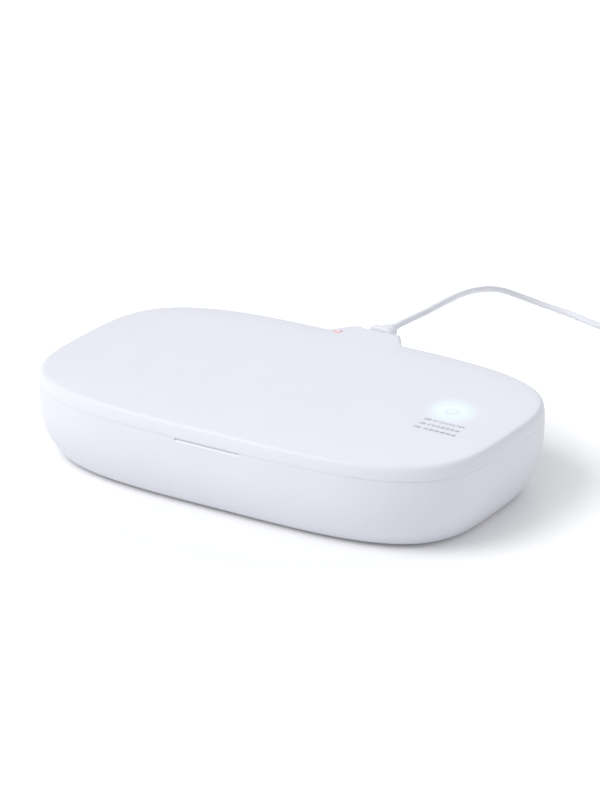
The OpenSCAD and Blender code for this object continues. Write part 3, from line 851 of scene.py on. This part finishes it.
# The cord's route, in millimetres of the case's plan, as in the part's source
CORD_ROUTE = [
    (0, 92, 37.5), (0, 96, 37.4), (0, 104, 36.9), (0, 113, 36.3), (0, 122, 35.7), (-0.5, 131, 35),
    (-1.5, 140, 33.9), (-3, 149, 32.4), (-5, 158, 30.5), (-7, 167, 28.3), (-9, 176, 26),
    (-10.5, 185, 23.6), (-11.5, 194, 21.1), (-11.8, 202, 18.7), (-11, 209, 16.3), (-9, 215, 13.6),
    (-6, 220, 10.7), (-2, 224.5, 7.9), (3, 228, 5.4), (9, 230.5, 3.5), (17, 231.5, 2.1), (26, 229.5, 1.55),
    (35, 226.5, 1.55), (45, 225, 1.55), (55, 225.8, 1.55), (63, 228, 1.6), (69, 229.4, 1.8),
    (75, 229.7, 2.05),
]
END_ROUTE = [
    (85, 229.7, 5.5), (91, 229.4, 4.9), (97, 227.8, 3.6), (102, 225, 2.5), (107, 220.5, 1.8),
    (110.5, 213, 1.55), (111.5, 205, 1.6), (111.5, 198, 2.2), (111.5, 191, 3.4), (111.5, 186, 4.1),
]
CORD_START = (0, 90.2, 37.5)
CHARGER = (111.5, 183.0, 4.1)
COIL_AT = (80.0, 207.7)
COIL_OUT_R = 22.0
COIL_LOW_Z = 2.05


def smooth_route(points, steps):
    """A smooth curve through the points, with extra points between them."""
    points = [Vector(p) for p in points]
    found = []
    for k in range(len(points) - 1):
        a, b = points[max(0, k - 1)], points[k]
        c, d = points[k + 1], points[min(len(points) - 1, k + 2)]
        for s in range(steps):
            u = s / steps
            found.append(0.5 * (
                2 * b + (c - a) * u + (2 * a - 5 * b + 4 * c - d) * u * u + (3 * b - a - 3 * c + d) * u**3
            ))
    return found + [points[-1]]


def coil_route(steps=40):
    cord = bpy.context.scene.cord_sizes
    found = []
    for k in range(cord.turns * steps + 1):
        turn = k / steps
        radius = COIL_OUT_R - cord.pitch * min(turn, cord.turns - turn)
        angle = math.tau * turn
        height = COIL_LOW_Z + cord.pitch * ease((turn - cord.turns / 2 + 0.25) / 0.5)
        x, y = COIL_AT[0] + radius * math.sin(angle), COIL_AT[1] + radius * math.cos(angle)
        found.append(Vector((x, y, height)))
    return found


class BOX_OT_cord(bpy.types.Operator):
    """Lays the power cord from its plug at the box, through the tied coil, to the charger plug"""

    bl_idname = "box.cord"
    bl_label = "Power cord"

    def execute(self, context):
        sizes = context.scene.cord_sizes
        grip = charger_grip()
        strap = coil_strap()
        points = [Vector(CORD_START)] + smooth_route(CORD_ROUTE, 4) + coil_route()
        points += smooth_route(END_ROUTE, 4) + [Vector(CHARGER)]
        places = [at(*p) for p in points]
        let_go()
        bpy.ops.curve.primitive_nurbs_path_add(location=(0, 0, 0))
        cord = named("power_cord")
        cord.data.splines.clear()
        run = cord.data.splines.new("POLY")
        run.points.add(len(places) - 1)
        for point, place in zip(run.points, places):
            point.co = (*place, 1)
        cord.data.dimensions = "3D"
        cord.data.bevel_depth = sizes.diameter / 2
        cord.data.bevel_resolution = 5
        cord.data.use_fill_caps = True
        run.use_smooth = True
        dress(cord, finish_of("cord"), "base", "cord_white", "cord_run", "cord_coil", "cord_end")
        return {"FINISHED"}


def slab_ring(half_w, half_h, power, z, count=56):
    """A rounded oblong round the origin, in metres."""
    return [
        Vector((half_w * MM * u, half_h * MM * v, z * MM))
        for u, v in (oval(math.tau * (k + 0.5) / count, power, power) for k in range(count))
    ]


def aim(piece, place, along):
    """Turns a piece that was modelled up the Z axis, so that it runs along another axis from a place."""
    turn = Vector((0, 0, 1)).rotation_difference(along).to_matrix().to_4x4()
    piece.data.transform(Matrix.Translation(place) @ turn)
    piece.data.update()
    return piece


def charger_grip():
    """The moulded grip of the charger plug, with three grooves for the fingers."""
    sections = [(2.4, 2.2, 2.6, -2.4), (2.7, 2.4, 2.8, -1.2), (3.0, 2.5, 3, 0.0), (4.6, 3.0, 3.4, 2.4)]
    sections += [(6.4, 3.45, 4.2, 4.6), (7.4, 3.7, 5, 6.2), (7.9, 3.9, 6, 8.0)]
    for k in range(3):
        start = 10.0 + 2.2 * k
        sections += [(7.9, 3.9, 6, start), (7.65, 3.65, 6, start + 0.3), (7.65, 3.65, 6, start + 1.0)]
        sections += [(7.9, 3.9, 6, start + 1.3)]
    sections += [(7.9, 3.9, 6, 23.4), (7.75, 3.75, 6, 23.85), (7.3, 3.4, 6, 24.0)]
    rings = [slab_ring(*section) for section in sections]
    grip = stack("charger_grip", rings, Vector((0, 0, 0)))
    aim(grip, at(*CHARGER), Vector((0, -1, 0)))
    dress(smooth(grip, 45), finish_of("cord"), "base", "cord_white", "charger_plug_body")
    return grip


def coil_strap():
    """A narrow woven strap round all the turns of the coil."""
    sizes = bpy.context.scene.cord_sizes
    thick = sizes.diameter / MM
    inner = COIL_OUT_R - sizes.pitch * sizes.turns / 2 - thick / 2 - 1.2
    outer = COIL_OUT_R - (sizes.pitch - thick) / 2 + 0.3
    half_w = (outer - inner) / 2
    half_h = (sizes.pitch + thick + 0.1) / 2
    section = [
        (0.0, -4.0), (0.12, -4.0), (0.4, -4.0), (0.5, -3.9), (0.5, 3.9), (0.4, 4.0), (0.12, 4.0), (0.0, 4.0),
    ]
    rings = [slab_ring(half_w + out, half_h + out, 5, z) for out, z in section]
    strap = stack("coil_strap", rings, Vector((0, 0, 0)), joined=True)
    place = at(COIL_AT[0], COIL_AT[1] - (outer + inner) / 2, 0.5 + half_h)
    upright = Matrix(((0, 0, 1), (1, 0, 0), (0, 1, 0))).to_4x4()
    strap.data.transform(Matrix.Translation(place) @ upright)
    dress(smooth(strap, 40), finish_of("strap"), "base", "tie_grey", "cord_tie")
    return strap


class BOX_OT_plug(bpy.types.Operator):
    """Models the moulded plug at the back of the box, which tapers to the cord"""

    bl_idname = "box.plug"
    bl_label = "Plug"

    def execute(self, context):
        sections = [
            (4.9, 2.7, 3.6, 0.0), (5.4, 3.2, 3.4, 0.1), (6.1, 3.9, 3.2, 0.5), (6.4, 4.25, 3.1, 1.0),
            (6.5, 4.35, 3.1, 1.7), (6.4, 4.2, 3, 2.6), (5.9, 3.8, 2.8, 3.6), (5.1, 3.2, 2.5, 4.5),
            (4.45, 2.75, 2.4, 5.1), (4.15, 2.55, 2.3, 5.6), (4.15, 2.6, 2.2, 6.1), (4.3, 2.85, 2.2, 6.8),
            (4.4, 3.05, 2.1, 7.5), (4.3, 3.05, 2.1, 8.1), (4.0, 2.85, 2.1, 8.9), (3.4, 2.5, 2, 9.8),
            (2.7, 2.2, 2, 10.7), (2.2, 1.98, 2, 11.5), (1.95, 1.9, 2, 12.2), (1.75, 1.75, 2, 12.5),
        ]
        plug = stack("cord_plug", [slab_ring(*section) for section in sections], Vector((0, 0, 0)))
        aim(plug, at(0, 77.7, HINGE.z), Vector((0, 1, 0)))
        dress(smooth(plug, 45), finish_of("cord"), "base", "cord_white", "plug_body")
        return {"FINISHED"}


class BOX_OT_marks(bpy.types.Operator):
    """Prints small plain marks beside the button, as thin ink on the lid"""

    bl_idname = "box.marks"
    bl_label = "Marks"

    def execute(self, context):
        rows = (
            ("OFF  0 1 2 3 4 5 6 7 8 9", 73.2, -6.6, 19.6),
            ("ON  5 10 15 20 25 30 35", 73.6, -11.5, 19.5),
            ("ON  10 20 30 40 50 60", 73.4, -16.2, 20.7),
        )
        pieces = []
        for text, x, y, width in rows:
            let_go()
            bpy.ops.object.text_add(location=at(x, y, 43.5))
            row = bpy.context.object
            row.data.body = text
            row.data.size = MARK_SIZE * MM
            row.data.offset = MARK_HEAVIER * MM
            row.data.align_y = "CENTER"
            only(row)
            bpy.ops.object.convert(target="MESH")
            row = bpy.context.object
            row.scale.x = width * MM / row.dimensions.x
            pieces.append(settle(row))
        marks = only(join("button_marks", pieces))
        laid = marks.modifiers.new("laid", "SHRINKWRAP")
        laid.target = bpy.data.objects["lid_case"]
        laid.wrap_method, laid.use_project_z, laid.use_negative_direction = "PROJECT", True, True
        laid.use_positive_direction = False
        laid.offset = INK * MM
        bpy.ops.object.modifier_apply(modifier=laid.name)
        dress(marks, finish_of("print"), "lid", "white_shell")
        return {"FINISHED"}


class BOX_OT_frame_finishes(bpy.types.Operator):
    """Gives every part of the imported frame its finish"""

    bl_idname = "box.frame_finishes"
    bl_label = "Frame finishes"

    def execute(self, context):
        for kind, nodes in CAD_FINISHES.items():
            for node in nodes:
                slots = NODES[node].data.materials
                slots.clear()
                slots.append(finish_of(kind))
        return {"FINISHED"}


class BOX_OT_camera(bpy.types.Operator):
    """Sets the camera at the viewing angle of the photograph"""

    bl_idname = "box.camera"
    bl_label = "Camera"

    def execute(self, context):
        let_go()
        bpy.ops.object.camera_add(location=CAMERA_AT)
        camera = bpy.context.object
        camera.name = "photo_camera"
        camera.rotation_euler = Vector(CAMERA_LOOKS).to_track_quat("-Z", "Y").to_euler()
        camera.data.lens = CAMERA_LENS
        camera.data.sensor_width = 36
        camera.data.clip_start, camera.data.clip_end = 0.05, 50
        context.scene.camera = camera
        return {"FINISHED"}


class BOX_OT_stage(bpy.types.Operator):
    """Lays the pale floor, with painted light that rises away from the box, and sets the soft studio lamps"""

    bl_idname = "box.stage"
    bl_label = "Stage"

    def execute(self, context):
        let_go()
        bpy.ops.mesh.primitive_plane_add(size=14, location=(0, 3, 0))
        floor = settle(named("studio_floor"))
        floor.data.materials.append(floor_paper())
        lamps = (
            ("key_window", (-0.85, -1.05, 1.5), 1.5, 27, (0.985, 0.982, 1.0)),
            ("side_window", (1.9, 0.5, 0.9), 1.4, 6, (0.98, 0.985, 1.0)),
            ("back_window", (-0.8, 2.2, 1.6), 1.6, 9, (0.96, 0.98, 1.0)),
        )
        for name, place, size, power, tone in lamps:
            bpy.ops.object.light_add(type="AREA", location=place)
            lamp = bpy.context.object
            lamp.name = name
            lamp.data.shape, lamp.data.size = "DISK", size
            lamp.data.energy, lamp.data.color = power, tone
            lamp.rotation_euler = (-Vector(place)).to_track_quat("-Z", "Y").to_euler()
        context.scene.world = studio_air()
        context.scene.view_settings.view_transform = "Standard"
        return {"FINISHED"}


def seen_rays(tree):
    """1 for the rays that show the background: from the camera, in gloss and through glass."""
    path = tree.nodes.new("ShaderNodeLightPath")
    total = path.outputs["Is Camera Ray"]
    for kind in ("Is Glossy Ray", "Is Transmission Ray"):
        more = tree.nodes.new("ShaderNodeMath")
        more.operation = "MAXIMUM"
        tree.links.new(total, more.inputs[0])
        tree.links.new(path.outputs[kind], more.inputs[1])
        total = more.outputs["Value"]
    return total


def floor_paper():
    paper = Finish("studio_paper", (0.9, 0.9, 0.905, 1), 0.9, Specular_IOR_Level=0.1)
    tree = paper.tree
    paper.tint(paper.noise(0.8, 2), 0.006)
    # Painted light on the floor: an emission seen only by camera, gloss and glass rays. It rises from 0.06 at
    # the box's middle to 0.55 at 0.8 m away, whitening the far floor and lightening the box's shadow near it.
    paper.set("Emission Color", (1, 1, 1, 1))
    metres = divided(paper, distance_from(paper, (0, -MIDDLE_Y)), 1000.0)
    painted_light_by_distance = paper.ramp(metres, (0.0, 0.06), (0.11, 0.07), (0.15, 0.26), (0.2, 0.35), (0.3, 0.38), (0.8, 0.55))
    painted_floor_light = tree.nodes.new("ShaderNodeMath")
    painted_floor_light.operation = "MULTIPLY"
    tree.links.new(seen_rays(tree), painted_floor_light.inputs[0])
    tree.links.new(painted_light_by_distance, painted_floor_light.inputs[1])
    tree.links.new(painted_floor_light.outputs["Value"], paper.shader.inputs["Emission Strength"])
    return paper.material


def studio_air():
    air = bpy.data.worlds.new("studio_air")
    air.use_nodes = True
    tree = air.node_tree
    sky = tree.nodes["Background"]
    sky.inputs["Color"].default_value = (0.96, 0.98, 1.0, 1)
    strength = tree.nodes.new("ShaderNodeMapRange")
    strength.inputs["To Min"].default_value = 0.5
    strength.inputs["To Max"].default_value = 1.0
    path = tree.nodes.new("ShaderNodeLightPath")
    tree.links.new(path.outputs["Is Camera Ray"], strength.inputs["Value"])
    tree.links.new(strength.outputs["Result"], sky.inputs["Strength"])
    return air


class BOX_PT_panel(bpy.types.Panel):
    """Lists the steps that model the box"""

    bl_idname = "BOX_PT_panel"
    bl_label = "Sanitizer box"
    bl_space_type = "VIEW_3D"
    bl_region_type = "UI"
    bl_category = "Box"

    def draw(self, context):
        layout = self.layout
        for group in (context.scene.case_sizes, context.scene.cord_sizes, context.scene.box_colours):
            for key in group.__annotations__:
                layout.prop(group, key)
        for step in STEPS:
            layout.operator(step.bl_idname)


STEPS = (
    BOX_OT_camera,
    BOX_OT_cord,
    BOX_OT_plug,
    BOX_OT_base_case,
    BOX_OT_lid_case,
    BOX_OT_button,
    BOX_OT_ready_light,
    BOX_OT_feet,
    BOX_OT_tub,
    BOX_OT_lid_tray,
    BOX_OT_seal,
    BOX_OT_marks,
    BOX_OT_frame_finishes,
    BOX_OT_stage,
)
CLASSES = (CaseSizes, CordSizes, Colours, *STEPS, BOX_PT_panel)
OUTLINE = even_outline(RING_COUNT, HALF_WIDTH, HALF_DEPTH)


def register():
    for made in CLASSES:
        bpy.utils.register_class(made)
    bpy.types.Scene.case_sizes = bpy.props.PointerProperty(type=CaseSizes)
    bpy.types.Scene.cord_sizes = bpy.props.PointerProperty(type=CordSizes)
    bpy.types.Scene.box_colours = bpy.props.PointerProperty(type=Colours)


def unregister():
    del bpy.types.Scene.case_sizes
    del bpy.types.Scene.cord_sizes
    del bpy.types.Scene.box_colours
    for made in reversed(CLASSES):
        bpy.utils.unregister_class(made)


def main():
    register()
    bpy.ops.box.camera()
    bpy.ops.box.cord()
    bpy.ops.box.plug()
    bpy.ops.box.base_case()
    bpy.ops.box.lid_case()
    bpy.ops.box.button()
    bpy.ops.box.ready_light()
    bpy.ops.box.feet()
    bpy.ops.box.tub()
    bpy.ops.box.lid_tray()
    bpy.ops.box.seal()
    bpy.ops.box.marks()
    bpy.ops.box.frame_finishes()
    bpy.ops.box.stage()


if __name__ == "__main__":
    main()
